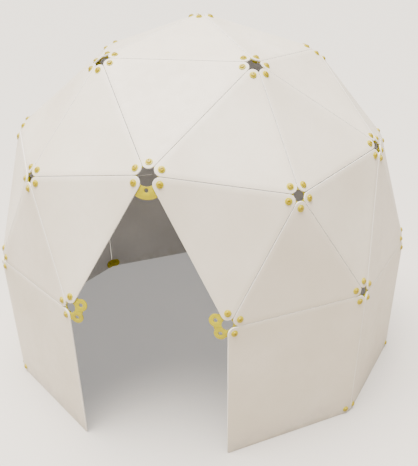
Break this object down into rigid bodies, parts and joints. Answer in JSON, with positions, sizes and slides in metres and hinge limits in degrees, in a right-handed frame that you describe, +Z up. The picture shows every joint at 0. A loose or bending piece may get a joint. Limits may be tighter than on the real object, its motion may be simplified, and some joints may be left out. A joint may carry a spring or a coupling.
{
  "type": "play dome",
  "caption": "Geodesic children's play dome of flat sheet panels joined at their corners by yellow ring connectors, with an open doorway.",
  "frame": {"origin": "middle of the floor circle, at floor level", "axes": "+Z is up, the doorway faces -Y, +X is to the right for a person who looks into the doorway"},
  "size_m": [1.7604, 1.6777, 1.4133],
  "materials": {
    "panel_sheet": "matt",
    "ring_plastic": "satin",
    "knob_plastic": "satin"
  },
  "bodies": {
    "root": {"crown_panel_1": "panel_sheet", "crown_panel_2": "panel_sheet", "crown_panel_3": "panel_sheet", "crown_panel_4": "panel_sheet", "crown_panel_5": "panel_sheet", "upper_panel_1": "panel_sheet", "upper_panel_2": "panel_sheet", "upper_panel_3": "panel_sheet", "upper_panel_4": "panel_sheet", "upper_panel_5": "panel_sheet", "upper_panel_6": "panel_sheet", "upper_panel_7": "panel_sheet", "upper_panel_8": "panel_sheet", "upper_panel_9": "panel_sheet", "upper_panel_10": "panel_sheet", "upper_panel_11": "panel_sheet", "upper_panel_12": "panel_sheet", "upper_panel_13": "panel_sheet", "upper_panel_14": "panel_sheet", "upper_panel_15": "panel_sheet", "lower_panel_1": "panel_sheet", "lower_panel_2": "panel_sheet", "lower_panel_3": "panel_sheet", "lower_panel_4": "panel_sheet", "lower_panel_5": "panel_sheet", "lower_panel_6": "panel_sheet", "lower_panel_7": "panel_sheet", "lower_panel_8": "panel_sheet", "lower_panel_9": "panel_sheet", "lower_panel_10": "panel_sheet", "lower_panel_11": "panel_sheet", "lower_panel_12": "panel_sheet", "lower_panel_13": "panel_sheet", "lower_panel_14": "panel_sheet", "lower_panel_15": "panel_sheet", "lower_panel_16": "panel_sheet", "lower_panel_17": "panel_sheet", "lower_panel_18": "panel_sheet", "lower_panel_19": "panel_sheet", "wall_panel_1": "panel_sheet", "wall_panel_2": "panel_sheet", "wall_panel_3": "panel_sheet", "wall_panel_4": "panel_sheet", "wall_panel_5": "panel_sheet", "wall_panel_6": "panel_sheet", "wall_panel_7": "panel_sheet", "wall_panel_8": "panel_sheet", "wall_panel_9": "panel_sheet", "crown_ring": "ring_plastic", "collar_rings": "ring_plastic", "shoulder_rings": "ring_plastic", "brow_rings": "ring_plastic", "waist_rings": "ring_plastic", "door_top_ring": "ring_plastic", "door_left_ring": "ring_plastic", "door_right_ring": "ring_plastic", "floor_links": "ring_plastic", "knobs": "knob_plastic", "caps": "knob_plastic"}
  },
  "joints": []
}
